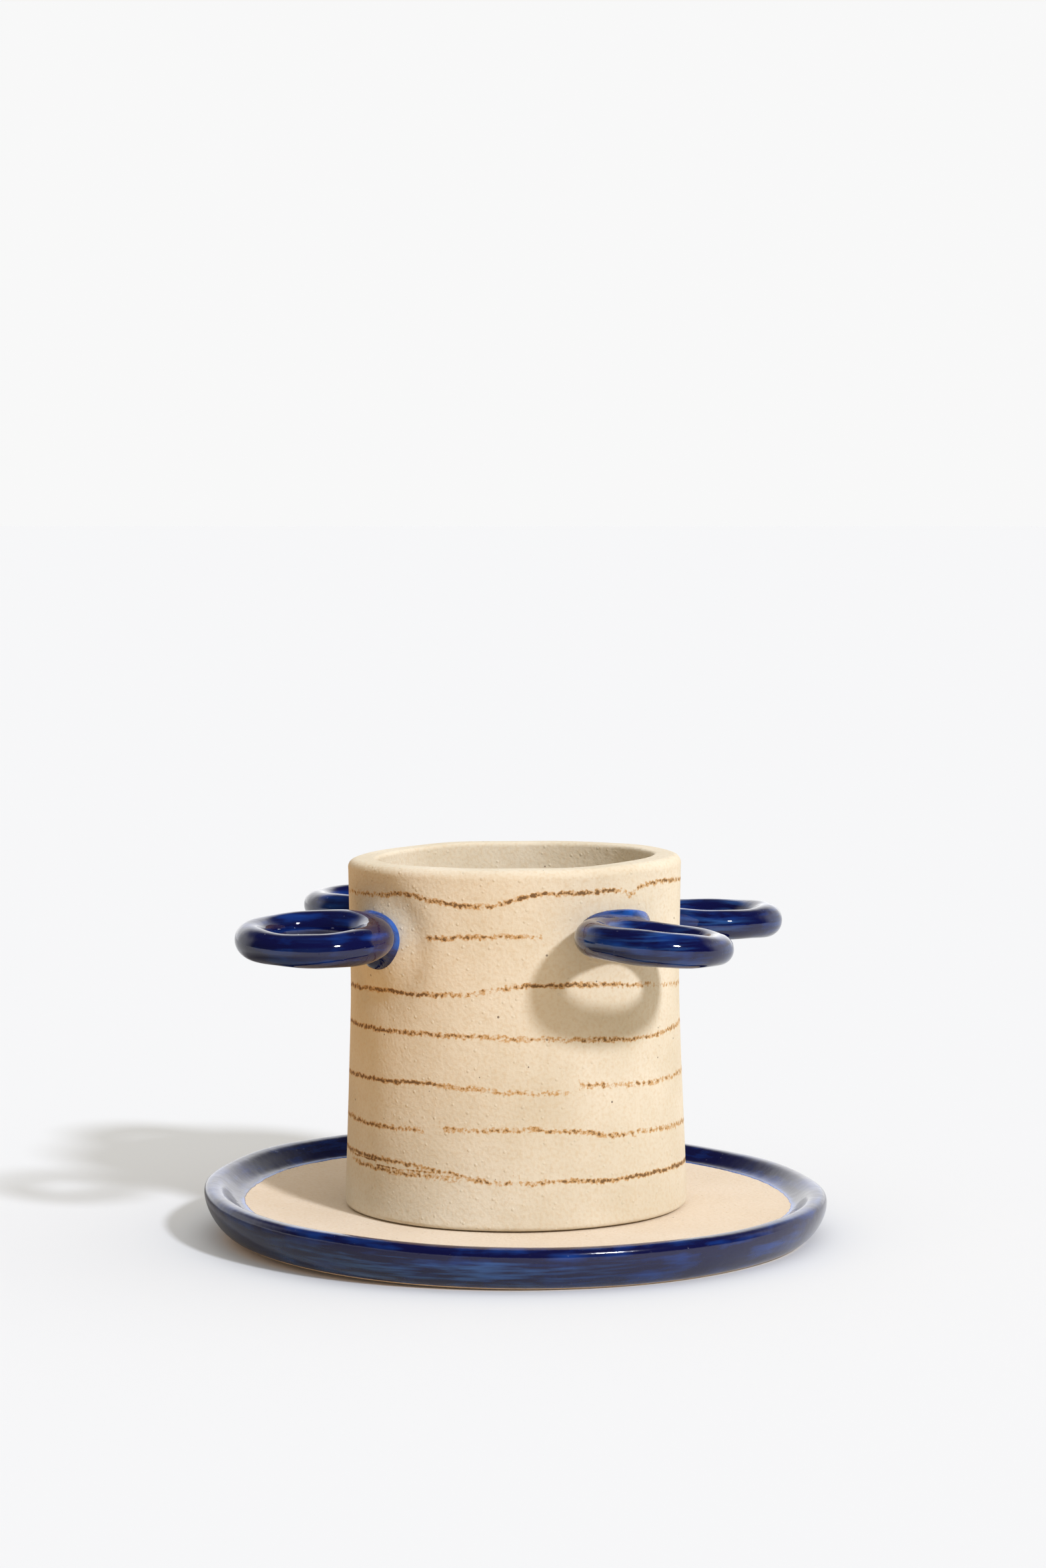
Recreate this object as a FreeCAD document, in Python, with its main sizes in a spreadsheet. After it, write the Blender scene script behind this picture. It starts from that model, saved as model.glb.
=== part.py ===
"""A hand-built stoneware toothbrush holder.

A bare clay cup stands loose on a round tray with a raised, dished rim. Four closed clay loops are luted
round the cup's upper wall, each on a smeared clay pad. A brush handle goes down through a loop and its end
stands on the tray. Z points up, and the origin is the middle of the tray's underside. Lengths are in
millimetres and angles in degrees.
"""

import FreeCAD
import Part
import math
import os
import re
import Sketcher

FULL_TURN = 360

# Driving lengths. A radius is measured from the upright axis that the tray and the cup share.
SIZES = {
    # Tray: a clay slab with a coil rim luted round its edge.
    "tray_radius": 83.2,
    "tray_floor_thick": 8,
    "rim_width": 9.6,
    "rim_height": 11.2,
    "rim_foot_width": 3.2,
    "rim_foot_bevel": 0.9,
    "rim_belly_height": 8,
    "rim_belly_radius": 18,
    "rim_crest_inset": 2.9,
    "rim_crest_round": 3.05,
    "rim_dish_radius": 10,
    # Cup: a slab rolled into a tube, drawn in under the loops, on a clay disc.
    "cup_radius": 44.1,
    "cup_height": 93.5,
    "cup_wall_thick": 7.5,
    "cup_floor_thick": 7.5,
    "waist_inset": 0.6,
    "waist_height": 58,
    "waist_blend": 14,
    "waist_blend_radius": 500,
    "foot_flare": 2.1,
    "foot_round": 1.4,
    "lip_round_outside": 2.6,
    "lip_round_inside": 2.2,
    # Loops: rolled coils closed into rings, pressed against the wall by their bite.
    "coil_radius": 4,
    "ring_radius": 16.1,
    "loop_drop": 18.5,
    "loop_bite": 0.6,
    # Pads: clay smeared round each loop's root, as half sizes of an egg sunk in the wall.
    "pad_half_width": 9.5,
    "pad_half_height": 6,
    "pad_proud": 3.4,
    # Each loop was set by hand: how far it sits above or below the others, and how far its pad was smeared
    # up or down from its root.
    "rise_back_right": -2.6,
    "rise_back_left": 0,
    "rise_front_left": 0.2,
    "rise_front_right": 0.8,
    "pad_shift_back_right": 0.6,
    "pad_shift_back_left": 0.4,
    "pad_shift_front_left": -3,
    "pad_shift_front_right": 1.8,
}

# Driving angles: the bearing that each loop points along, how it droops outwards and rolls to one side.
ANGLES = {
    "bearing_angle_back_right": 33,
    "bearing_angle_back_left": 128.2,
    "bearing_angle_front_left": 215,
    "bearing_angle_front_right": 304.3,
    "droop_angle_back_right": 0.5,
    "droop_angle_back_left": 0.3,
    "droop_angle_front_left": 2.8,
    "droop_angle_front_right": 1.5,
    "roll_angle_back_right": -0.4,
    "roll_angle_back_left": 0,
    "roll_angle_front_left": -4,
    "roll_angle_front_right": -5,
}
LOOP_PLACES = ["back_right", "back_left", "front_left", "front_right"]

# Lengths that follow from the driving ones, written as formulas on their names.
TRAY_FLOOR_RADIUS = "(tray_radius - rim_width)"
RIM_FOOT_RADIUS = "(tray_radius - rim_width + rim_foot_width)"
WAIST_RADIUS = "(cup_radius - waist_inset)"
FOOT_RADIUS = "(cup_radius - waist_inset + foot_flare)"
LIP_STRAIGHT_HEIGHT = "(cup_height - lip_round_outside)"
LOWER_SLOPE = "(foot_flare / (waist_height - foot_round))"
UPPER_SLOPE = "(waist_inset / (cup_height - lip_round_outside - waist_height))"
BORE_TOP_RADIUS = "(cup_radius - cup_wall_thick)"
BORE_FLOOR_RADIUS = "(cup_radius - waist_inset + foot_flare - cup_wall_thick)"
LIP_BORE_HEIGHT = "(cup_height - lip_round_inside)"
BORE_SLOPE = f"(({BORE_FLOOR_RADIUS} - {BORE_TOP_RADIUS}) / {LIP_BORE_HEIGHT})"
BORE_RADIUS_AT_FLOOR_TOP = f"({BORE_FLOOR_RADIUS} - {BORE_SLOPE} * cup_floor_thick)"
LOOP_HEIGHT = "(cup_height - loop_drop)"
WALL_RADIUS_AT_LOOPS = (
    f"({WAIST_RADIUS} + ({LOOP_HEIGHT} > waist_height"
    f" ? {UPPER_SLOPE} * ({LOOP_HEIGHT} - waist_height)"
    f" : {LOWER_SLOPE} * (waist_height - {LOOP_HEIGHT})))"
)
RING_CENTRE_RADIUS = f"({WALL_RADIUS_AT_LOOPS} + ring_radius + coil_radius - loop_bite)"

doc = FreeCAD.newDocument("toothbrush_holder")


# The sheet of driving values, and formulas bound to its cells

DRIVING = {**SIZES, **ANGLES}
sheet = doc.addObject("Spreadsheet::Sheet", "sizes")
for row, (alias, value) in enumerate(DRIVING.items(), start=1):
    sheet.set(f"A{row}", alias)
    sheet.set(f"B{row}", str(value))
    sheet.setAlias(f"B{row}", alias)
doc.recompute()


def on_sheet(formula):
    """The same formula with every driving value's name pointing at its cell in the sheet."""
    return re.sub(r"[a-z_]+", lambda word: f"sizes.{word[0]}" if word[0] in DRIVING else word[0], formula)


gauge = doc.addObject("App::FeaturePython", "gauge")
gauge.addProperty("App::PropertyFloat", "reading")


def number(formula):
    """What a formula on the driving values comes to, read off the gauge."""
    gauge.setExpression("reading", on_sheet(formula))
    gauge.recompute()
    return gauge.reading


# Closed outlines and the bodies turned from them

def arc_between(start, end, radius, centre_on_left):
    """The shorter arc of that radius from start to end, with its centre to the left or right of the way."""
    chord = end - start
    middle = (start + end) * 0.5
    left = FreeCAD.Vector(-chord.y, chord.x, 0).normalize()
    reach = math.sqrt(radius**2 - (chord.Length / 2) ** 2)
    centre = middle + left * (reach if centre_on_left else -reach)
    first, last = (start, end) if centre_on_left else (end, start)
    angles = [math.atan2(point.y - centre.y, point.x - centre.x) for point in (first, last)]
    return Part.ArcOfCircle(Part.Circle(centre, FreeCAD.Vector(0, 0, 1), radius), *angles)


def bind(sketch, constraint, formula):
    """Adds a constraint and ties its value to a formula on the sheet."""
    index = sketch.addConstraint(constraint)
    sketch.setExpression(f"Constraints[{index}]", on_sheet(formula))


def hold_point(sketch, edge, end, across, up):
    """Ties one end of an edge to its place: a distance from each axis, or the axis itself where that is zero."""
    for kind, formula, axis in (("DistanceX", across, -2), ("DistanceY", up, -1)):
        if formula == "0":
            sketch.addConstraint(Sketcher.Constraint("PointOnObject", edge, end, axis))
        else:
            bind(sketch, Sketcher.Constraint(kind, edge, end, number(formula)), formula)


def new_sketch(body, name):
    """An empty sketch on the body's upright plane: across is X, up is Z."""
    sketch = body.newObject("Sketcher::SketchObject", name)
    upright = next(plane for plane in body.Origin.OriginFeatures if plane.Role == "XZ_Plane")
    sketch.AttachmentSupport = (upright, [""])
    sketch.MapMode = "FlatFace"
    return sketch


def outline(body, name, corners):
    """A closed sketch through corners of (across, up), each with the edge that leaves it.

    The edge is None for a straight line, or (radius, "left" or "right") for an arc whose centre lies on
    that side of the way round.
    """
    sketch = new_sketch(body, name)
    points = [FreeCAD.Vector(number(across), number(up), 0) for across, up, _ in corners]
    starts, ends = [], []
    for index, (_, _, bend) in enumerate(corners):
        start, end = points[index], points[(index + 1) % len(points)]
        if bend is None:
            sketch.addGeometry(Part.LineSegment(start, end))
            runs_forward = True
        else:
            runs_forward = bend[1] == "left"
            sketch.addGeometry(arc_between(start, end, number(bend[0]), runs_forward))
        starts.append(1 if runs_forward else 2)
        ends.append(2 if runs_forward else 1)
    for index, (across, up, bend) in enumerate(corners):
        before = (index - 1) % len(corners)
        sketch.addConstraint(Sketcher.Constraint("Coincident", before, ends[before], index, starts[index]))
        hold_point(sketch, index, starts[index], across, up)
        if bend is not None:
            bind(sketch, Sketcher.Constraint("Radius", index, number(bend[0])), bend[0])
    return sketch


def turn(body, sketch):
    """Turns a sketch a full round about the body's upright axis."""
    turned = body.newObject("PartDesign::Revolution", f"{body.Name}_turned")
    turned.Profile = sketch
    turned.ReferenceAxis = (sketch, ["V_Axis"])
    turned.Angle = FULL_TURN
    body.Tip = turned
    doc.recompute()


def turned_body(name, corners, base="0"):
    """A body turned from an outline, with its own zero height raised to base."""
    body = doc.addObject("PartDesign::Body", name)
    body.Label = name
    turn(body, outline(body, f"{name}_outline", corners))
    if base != "0":
        body.setExpression("Placement.Base.z", on_sheet(base))
    doc.recompute()
    return body


# Tray floor: the slab that everything stands on

tray_floor = turned_body(
    "tray_floor",
    [
        ("0", "0", None),
        (TRAY_FLOOR_RADIUS, "0", None),
        (TRAY_FLOOR_RADIUS, "tray_floor_thick", None),
        ("0", "tray_floor_thick", None),
    ],
)

# Tray rim: a coil pulled outwards and up, undercut outside to a narrow foot and dished inside

tray_rim = turned_body(
    "tray_rim",
    [
        (TRAY_FLOOR_RADIUS, "0", None),
        (RIM_FOOT_RADIUS, "0", None),
        (f"({RIM_FOOT_RADIUS} + rim_foot_bevel)", "rim_foot_bevel", ("rim_belly_radius", "left")),
        ("tray_radius", "rim_belly_height", ("rim_crest_round", "left")),
        ("(tray_radius - rim_crest_inset)", "rim_height", ("rim_dish_radius", "right")),
        (TRAY_FLOOR_RADIUS, "tray_floor_thick", None),
    ],
)

# Cup wall: a tube that tapers in to a waist under the loops, then flares a little to a rounded lip

cup_wall = turned_body(
    "cup_wall",
    [
        (BORE_FLOOR_RADIUS, "0", None),
        (f"({FOOT_RADIUS} - foot_round)", "0", ("foot_round", "left")),
        (FOOT_RADIUS, "foot_round", None),
        (
            f"({WAIST_RADIUS} + {LOWER_SLOPE} * waist_blend)",
            "(waist_height - waist_blend)",
            ("waist_blend_radius", "right"),
        ),
        (f"({WAIST_RADIUS} + {UPPER_SLOPE} * waist_blend)", "(waist_height + waist_blend)", None),
        ("cup_radius", LIP_STRAIGHT_HEIGHT, ("lip_round_outside", "left")),
        ("(cup_radius - lip_round_outside)", "cup_height", None),
        (f"({BORE_TOP_RADIUS} + lip_round_inside)", "cup_height", ("lip_round_inside", "left")),
        (BORE_TOP_RADIUS, LIP_BORE_HEIGHT, None),
    ],
    base="tray_floor_thick",
)

# Cup floor: a disc whose edge follows the taper of the bore that it is luted into

cup_floor = turned_body(
    "cup_floor",
    [
        ("0", "0", None),
        (BORE_FLOOR_RADIUS, "0", None),
        (BORE_RADIUS_AT_FLOOR_TOP, "cup_floor_thick", None),
        ("0", "cup_floor_thick", None),
    ],
    base="tray_floor_thick",
)


# Loops and their pads

def put_round_cup(piece, place, radius, shift="0", tilted=False):
    """Places a piece on its loop's bearing at loop height plus a shift, tilting with the loop if asked."""
    turned = FreeCAD.Rotation(FreeCAD.Vector(0, 0, 1), number(f"bearing_angle_{place}"))
    if tilted:
        droop = FreeCAD.Rotation(FreeCAD.Vector(0, 1, 0), number(f"droop_angle_{place}"))
        roll = FreeCAD.Rotation(FreeCAD.Vector(1, 0, 0), number(f"roll_angle_{place}"))
        turned = turned * droop * roll
    piece.Placement = FreeCAD.Placement(FreeCAD.Vector(0, 0, 0), turned)
    piece.setExpression("Placement.Base.x", on_sheet(f"{radius} * cos(bearing_angle_{place})"))
    piece.setExpression("Placement.Base.y", on_sheet(f"{radius} * sin(bearing_angle_{place})"))
    height = f"tray_floor_thick + {LOOP_HEIGHT} + rise_{place} + {shift}"
    piece.setExpression("Placement.Base.z", on_sheet(height))


def cut_away(base, tool, name):
    """The base piece less the tool, as a piece of its own."""
    cut = doc.addObject("Part::Cut", name)
    cut.Base = base
    cut.Tool = tool
    cut.Label = name
    return cut


def coil_ring(place):
    """A coil of round section closed into a ring, before it is pressed against the wall."""
    body = doc.addObject("PartDesign::Body", f"ring_{place}")
    sketch = new_sketch(body, f"ring_{place}_section")
    middle = FreeCAD.Vector(number("ring_radius"), 0, 0)
    sketch.addGeometry(Part.Circle(middle, FreeCAD.Vector(0, 0, 1), number("coil_radius")))
    hold_point(sketch, 0, 3, "ring_radius", "0")
    bind(sketch, Sketcher.Constraint("Radius", 0, number("coil_radius")), "coil_radius")
    turn(body, sketch)
    put_round_cup(body, place, RING_CENTRE_RADIUS, tilted=True)
    return body


def clay_egg(place):
    """The egg of soft clay that a pad is smeared from, centred on the wall's face."""
    egg = doc.addObject("Part::Ellipsoid", f"egg_{place}")
    egg.setExpression("Radius1", on_sheet("pad_half_height"))
    egg.setExpression("Radius2", on_sheet("pad_proud"))
    egg.setExpression("Radius3", on_sheet("pad_half_width"))
    put_round_cup(egg, place, WALL_RADIUS_AT_LOOPS, shift=f"pad_shift_{place}")
    return egg


pads = []
loops = []
for place in LOOP_PLACES:
    egg = clay_egg(place)
    pads.append(cut_away(egg, cup_wall, f"loop_pad_{place}"))
    pressed_ring = cut_away(coil_ring(place), cup_wall, f"pressed_ring_{place}")
    loops.append(cut_away(pressed_ring, egg, f"loop_{place}"))
doc.recompute()


# Checks, then one file for each piece

for item in doc.Objects:
    if "Invalid" in item.State or "Error" in item.State:
        raise RuntimeError(f"{item.Label} could not be built: {item.State}")

pieces = [tray_floor, tray_rim, cup_wall, cup_floor, *loops, *pads]
for piece in pieces:
    if piece.Shape.isNull() or not piece.Shape.isValid() or len(piece.Shape.Solids) != 1:
        raise RuntimeError(f"{piece.Label} is not one sound solid")

os.makedirs("parts", exist_ok=True)
for piece in pieces:
    piece.Shape.exportStep(f"parts/{piece.Label}.step")
    print(f"{piece.Label}: {piece.Shape.Volume:.1f} mm3")
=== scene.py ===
import bpy
import math
import numpy as np
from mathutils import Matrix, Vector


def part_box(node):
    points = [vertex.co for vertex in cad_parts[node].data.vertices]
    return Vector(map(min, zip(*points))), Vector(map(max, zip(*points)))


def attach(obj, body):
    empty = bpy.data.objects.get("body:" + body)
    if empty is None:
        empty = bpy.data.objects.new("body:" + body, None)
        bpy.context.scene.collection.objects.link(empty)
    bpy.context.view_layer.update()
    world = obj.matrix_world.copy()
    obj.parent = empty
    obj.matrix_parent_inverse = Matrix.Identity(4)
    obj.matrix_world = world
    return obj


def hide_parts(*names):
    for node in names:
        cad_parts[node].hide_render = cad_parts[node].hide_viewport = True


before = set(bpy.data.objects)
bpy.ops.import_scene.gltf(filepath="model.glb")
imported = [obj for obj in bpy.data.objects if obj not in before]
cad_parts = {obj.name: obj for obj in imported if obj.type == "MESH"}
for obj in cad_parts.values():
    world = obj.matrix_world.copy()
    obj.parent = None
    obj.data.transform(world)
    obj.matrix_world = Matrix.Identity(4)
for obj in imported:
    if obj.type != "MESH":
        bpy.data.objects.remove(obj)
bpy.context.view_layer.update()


# Tray floor
# A slab of buff stoneware, rolled flat, cut round and left bare on top. Its edge curled up a little in the
# firing, most at the back left, and iron in the clay burnt to dark specks.

MM = 0.001
COLUMNS_ROUND_TRAY = 480
SHARP_EDGE = math.radians(50)
UNGLAZED_DEPTH = -9 * MM

tray_floor_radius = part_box("tray_floor")[1].x
tray_floor_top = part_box("tray_floor")[1].z
tray_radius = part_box("tray_rim")[1].x
warp_start = 47 * MM
warp_height = 4.2 * MM
warp_bearing = math.radians(140)
warp_sharpness = 1.5
glaze_overlap = 1.1 * MM
fan_radius = 3 * MM

tray_clay_hexes = ("#EADCC8", "#E5D5BE")
warm_clay_hex = "#CFAF78"
iron_speck_hex = "#5B4330"
deep_cobalt_hex = "#090C3E"
cobalt_hex = "#14439A"
thin_cobalt_hex = "#1F60BE"
brushed_cobalt_hex = "#3566B0"


def linear(hex_colour):
    """An sRGB hex colour as linear red, green, blue and full alpha."""
    share = np.array([int(hex_colour[i:i + 2], 16) for i in (1, 3, 5)]) / 255
    light = np.where(share <= 0.04045, share / 12.92, ((share + 0.055) / 1.055) ** 2.4)
    return (*light.tolist(), 1.0)


def unevenness(across, up, waves):
    """Slow unevenness of a hand-made surface: a sum of cosines (height, turns across, turns up, phase)."""
    return sum(height * np.cos(a * across + b * up + phase) for height, a, b, phase in waves)


def tray_warp(x, y):
    """How far the tray lifted in firing: a lobe towards one bearing, growing as the distance squared."""
    lobe = ((1 + np.cos(np.arctan2(y, x) - warp_bearing)) / 2) ** warp_sharpness
    outward = np.clip((np.hypot(x, y) - warp_start) / (tray_radius - warp_start), 0, None)
    return warp_height * lobe * outward**2


def turned(profile, columns):
    """A profile of (radius, height) points carried round the upright axis, as a grid [row, column, xyz]."""
    angle = np.linspace(0, math.tau, columns, endpoint=False)
    radius, height = profile[:, :1], profile[:, 1:]
    return np.stack([radius * np.cos(angle), radius * np.sin(angle), height + 0 * angle], axis=-1)


def skin(name, points, fanned=False):
    """A piece over a grid of points whose columns close on themselves.

    Its rows close on themselves too, or, if fanned, each end row is closed by a fan to its own middle.
    """
    rows, columns = points.shape[:2]
    index = np.arange(rows * columns).reshape(rows, columns)
    lower, upper = (index[:-1], index[1:]) if fanned else (index, np.roll(index, -1, axis=0))
    quads = np.stack([lower, np.roll(lower, -1, axis=1), np.roll(upper, -1, axis=1), upper], axis=-1)
    faces = quads.reshape(-1, 4).tolist()
    vertices = points.reshape(-1, 3)
    if fanned:
        vertices = np.vstack([vertices, points[[0, -1]].mean(axis=1)])
        first, last = index[0], index[-1]
        bottom = np.full(columns, rows * columns)
        faces += np.stack([np.roll(first, -1), first, bottom], axis=-1).tolist()
        faces += np.stack([last, np.roll(last, -1), bottom + 1], axis=-1).tolist()
    mesh = bpy.data.meshes.new(name)
    mesh.from_pydata(vertices.tolist(), [], faces)
    mesh.polygons.foreach_set("use_smooth", np.ones(len(faces), bool))
    mesh.set_sharp_from_angle(angle=SHARP_EDGE)
    piece = bpy.data.objects.new(name, mesh)
    bpy.context.scene.collection.objects.link(piece)
    return piece


def corners(piece):
    """Every vertex of a piece, as rows of xyz."""
    flat = np.empty(len(piece.data.vertices) * 3)
    piece.data.vertices.foreach_get("co", flat)
    return flat.reshape(-1, 3)


def store(piece, name, values):
    """Keeps one number for each vertex of a piece, for its material to read."""
    layer = piece.data.attributes.new(name, "FLOAT", "POINT")
    layer.data.foreach_set("value", np.asarray(values, np.float32))


def node(tree, kind, inputs=(), **settings):
    """Adds one node. Each input gets a number or colour, or a link from a node's output."""
    made = tree.nodes.new(kind)
    for name, value in settings.items():
        setattr(made, name, value)
    for socket, value in dict(inputs).items():
        if isinstance(value, bpy.types.Node):
            tree.links.new(value.outputs[0], made.inputs[socket])
        elif isinstance(value, bpy.types.NodeSocket):
            tree.links.new(value, made.inputs[socket])
        else:
            made.inputs[socket].default_value = value
    return made


# Bare stoneware: open, sanded clay. It is matte, mottled from cream to sand, and grainy to the eye: fine
# sand stands out of it all over, single pale grog grains stand higher, and iron burns to small dark specks.
# Sand of about 0.3 mm is too fine to show in the render, so it is drawn three times as coarse.
cloud_size = 26 * MM
sand_size = 0.9 * MM
sand_relief = 0.16 * MM
speck_spacing = 4.2 * MM
grog_spacing = 2.6 * MM
grog_relief = 0.12 * MM
lump_size = 3.5 * MM
lump_relief = 0.2 * MM


def bare_clay(tree, place, pale_hex, buff_hex):
    """Colour and relief of the bare clay, clouded between two hex colours."""
    clouds = node(tree, "ShaderNodeTexNoise", {"Vector": place, "Scale": 1 / cloud_size, "Detail": 3.0})
    warmth = node(tree, "ShaderNodeMapRange", {"Value": clouds, "From Min": 0.35, "From Max": 0.68})
    body = node(tree, "ShaderNodeMixRGB",
                {"Fac": warmth, "Color1": linear(pale_hex), "Color2": linear(buff_hex)})
    sand = node(tree, "ShaderNodeTexNoise", {"Vector": place, "Scale": 1 / sand_size, "Detail": 4.0})
    shade = node(tree, "ShaderNodeMapRange",
                 {"Value": sand, "From Min": 0.45, "From Max": 0.75, "To Max": 0.3})
    sandy = node(tree, "ShaderNodeMixRGB", {"Fac": shade, "Color1": body, "Color2": linear(warm_clay_hex)})
    specks = node(tree, "ShaderNodeTexVoronoi", {"Vector": place, "Scale": 1 / speck_spacing})
    chosen = node(tree, "ShaderNodeSeparateColor", {"Color": specks.outputs["Color"]})
    size = node(tree, "ShaderNodeMapRange",
                {"Value": chosen.outputs["Red"], "From Min": 0.45, "From Max": 1.0, "To Max": 0.085})
    inside = node(tree, "ShaderNodeMath", {0: size, 1: specks.outputs["Distance"]}, operation="SUBTRACT")
    speck = node(tree, "ShaderNodeMapRange", {"Value": inside, "From Max": 0.02, "To Max": 0.75})
    specked = node(tree, "ShaderNodeMixRGB",
                   {"Fac": speck, "Color1": sandy, "Color2": linear(iron_speck_hex)})
    grog = node(tree, "ShaderNodeTexVoronoi", {"Vector": place, "Scale": 1 / grog_spacing})
    grain = node(tree, "ShaderNodeMapRange",
                 {"Value": grog.outputs["Distance"], "From Min": 0.2, "From Max": 0.06,
                  "To Max": grog_relief}, interpolation_type="SMOOTHSTEP")
    lumps = node(tree, "ShaderNodeTexNoise", {"Vector": place, "Scale": 1 / lump_size, "Detail": 2.0})
    fine = node(tree, "ShaderNodeMath", {0: sand, 1: sand_relief, 2: grain}, operation="MULTIPLY_ADD")
    relief = node(tree, "ShaderNodeMath", {0: lumps, 1: lump_relief, 2: fine}, operation="MULTIPLY_ADD")
    return specked, relief


# Cobalt glaze: a glassy coat brushed on. It is near black where it is thick or has run down, clear cobalt
# where it is thinner and bright blue at its edges, with brush streaks, a soft ripple and a few pinholes.
streak_length = 19 * MM
streak_flatness = 9.0
pool_size = 11 * MM
hair_length = 13 * MM
hair_flatness = 13.0
ripple_size = 5 * MM
ripple_relief = 0.1 * MM
pinhole_spacing = 1.9 * MM
pinhole_depth = 0.03 * MM


def cobalt_glaze(tree, place, depth):
    """Colour and relief of the glaze. Depth is how far in from the glaze's edge a point lies, in mm."""
    flat = node(tree, "ShaderNodeMapping", {"Vector": place, "Scale": (1.0, 1.0, streak_flatness)})
    streaks = node(tree, "ShaderNodeTexNoise", {"Vector": flat, "Scale": 1 / streak_length, "Detail": 5.0})
    pools = node(tree, "ShaderNodeTexNoise", {"Vector": place, "Scale": 1 / pool_size, "Detail": 3.0})
    streak_share = node(tree, "ShaderNodeMath", {0: streaks, 1: 0.6}, operation="MULTIPLY")
    thinness = node(tree, "ShaderNodeMath", {0: pools, 1: 0.4, 2: streak_share}, operation="MULTIPLY_ADD")
    thin = node(tree, "ShaderNodeMapRange", {"Value": thinness, "From Min": 0.49, "From Max": 0.74})
    body = node(tree, "ShaderNodeMixRGB",
                {"Fac": thin, "Color1": linear(deep_cobalt_hex), "Color2": linear(cobalt_hex)})
    hairs = node(tree, "ShaderNodeMapping", {"Vector": place, "Scale": (1.0, 1.0, hair_flatness)})
    brush = node(tree, "ShaderNodeTexNoise", {"Vector": hairs, "Scale": 1 / hair_length, "Detail": 4.0})
    brushed = node(tree, "ShaderNodeAttribute", attribute_name="brushed").outputs["Fac"]
    stroke = node(tree, "ShaderNodeMapRange",
                  {"Value": brush, "From Min": 0.46, "From Max": 0.68, "To Max": 0.7})
    streak = node(tree, "ShaderNodeMath", {0: stroke, 1: brushed}, operation="MULTIPLY")
    coat = node(tree, "ShaderNodeMixRGB",
                {"Fac": streak, "Color1": body, "Color2": linear(brushed_cobalt_hex)})
    run = node(tree, "ShaderNodeAttribute", attribute_name="run").outputs["Fac"]
    settled = node(tree, "ShaderNodeMath", {0: depth, 1: run}, operation="ADD")
    edge = node(tree, "ShaderNodeMapRange", {"Value": settled, "From Min": 1.5, "From Max": 0.2},
                interpolation_type="SMOOTHSTEP")
    broken = node(tree, "ShaderNodeMapRange", {"Value": pools, "From Min": 0.3, "From Max": 0.55})
    bright = node(tree, "ShaderNodeMath", {0: edge, 1: broken}, operation="MULTIPLY")
    colour = node(tree, "ShaderNodeMixRGB",
                  {"Fac": bright, "Color1": coat, "Color2": linear(thin_cobalt_hex)})
    ripple = node(tree, "ShaderNodeTexNoise", {"Vector": place, "Scale": 1 / ripple_size, "Detail": 2.0})
    pits = node(tree, "ShaderNodeTexVoronoi", {"Vector": place, "Scale": 1 / pinhole_spacing})
    pit = node(tree, "ShaderNodeMapRange",
               {"Value": pits.outputs["Distance"], "From Min": 0.06, "From Max": 0.1,
                "To Min": -pinhole_depth, "To Max": 0.0})
    relief = node(tree, "ShaderNodeMath", {0: ripple, 1: ripple_relief, 2: pit}, operation="MULTIPLY_ADD")
    return colour, relief


fray_size = 2.8 * MM
clay_roughness = 0.88
clay_grain_roughness = 0.4
STONEWARE_IOR = 1.6


def stoneware(name, clay_hexes, glaze_roughness, fraying):
    """Bare clay, cobalt glazed where the piece's glaze attribute, a depth in mm, is above zero.

    Noise, as wide as the fraying in mm, is added to that depth and makes the glaze's edge uneven. A run
    attribute adds depth where the glaze ran, and a brushed one says how much its brush strokes show; on the
    rim it also holds a lighter line along the crest, partly thin glaze and partly a painted sheen.
    """
    material = bpy.data.materials.new(name)
    material.use_nodes = True
    tree = material.node_tree
    tree.nodes.clear()
    place = node(tree, "ShaderNodeTexCoord").outputs["Object"]
    clay_colour, clay_relief = bare_clay(tree, place, *clay_hexes)
    stored = node(tree, "ShaderNodeAttribute", attribute_name="glaze").outputs["Fac"]
    ragged = node(tree, "ShaderNodeTexNoise", {"Vector": place, "Scale": 1 / fray_size, "Detail": 4.0})
    frayed = node(tree, "ShaderNodeMath", {0: ragged, 1: fraying, 2: stored}, operation="MULTIPLY_ADD")
    depth = node(tree, "ShaderNodeMath", {0: frayed, 1: fraying / 2}, operation="SUBTRACT")
    glaze_colour, glaze_relief = cobalt_glaze(tree, place, depth)
    cover = node(tree, "ShaderNodeMapRange", {"Value": depth, "From Min": -0.08, "From Max": 0.12})
    colour = node(tree, "ShaderNodeMixRGB", {"Fac": cover, "Color1": clay_colour, "Color2": glaze_colour})
    rough = node(tree, "ShaderNodeMapRange",
                 {"Value": cover, "To Min": clay_roughness, "To Max": glaze_roughness})
    grainy = node(tree, "ShaderNodeMapRange",
                  {"Value": cover, "To Min": clay_grain_roughness, "To Max": 0.0})
    relief = node(tree, "ShaderNodeMixRGB", {"Fac": cover, "Color1": clay_relief, "Color2": glaze_relief})
    bump = node(tree, "ShaderNodeBump", {"Height": relief, "Distance": 1.0})
    shader = node(tree, "ShaderNodeBsdfPrincipled",
                  {"Base Color": colour, "Roughness": rough, "IOR": STONEWARE_IOR, "Normal": bump,
                   "Diffuse Roughness": grainy})
    node(tree, "ShaderNodeOutputMaterial", {"Surface": shader})
    return material


def glaze_edge(x, y):
    """Radius of the ragged line where the rim's glaze ends: the floor's own, less an overlap, plus waves."""
    bearing = np.arctan2(y, x)
    waves = ((0.9 * MM, 1, 0, -0.9), (0.5 * MM, 2, 0, 0.4), (0.35 * MM, 5, 0, 1.0), (0.2 * MM, 9, 0, 2.0))
    return tray_floor_radius - glaze_overlap + unevenness(bearing, 0, waves)


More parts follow.
